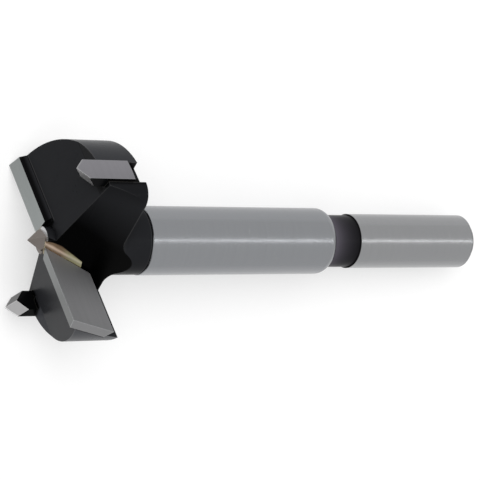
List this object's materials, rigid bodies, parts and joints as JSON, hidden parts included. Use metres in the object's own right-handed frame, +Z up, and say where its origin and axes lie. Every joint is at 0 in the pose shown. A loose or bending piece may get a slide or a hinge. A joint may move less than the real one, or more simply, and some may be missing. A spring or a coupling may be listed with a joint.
{
  "type": "forstner bit",
  "caption": "Forstner bit for hinge cups, lying on its side: plain round shank, thicker shaft and a wide dark head with brazed cutting plates, rim spurs and a centre point.",
  "frame": {"origin": "centre of the footprint, on the surface that the bit lies on", "axes": "+X towards the shank's end, along the bit's axis seen from above; +Z up; the bit's axis tips down by about 6 degrees towards the shank"},
  "size_m": [0.0924, 0.034, 0.0284],
  "materials": {
    "steel": "ground bright on shaft and shank, black oxide on head, neck and groove",
    "carbide": "ground tungsten carbide",
    "braze": "brazing brass, as flowed"
  },
  "bodies": {
    "root": {"bit_body": "steel", "cutting_plate_a": "carbide", "cutting_plate_b": "carbide", "rim_spur_a": "carbide", "rim_spur_b": "carbide", "plate_braze_a": "braze", "plate_braze_b": "braze", "spur_braze_a": "braze", "spur_braze_b": "braze"}
  },
  "joints": []
}
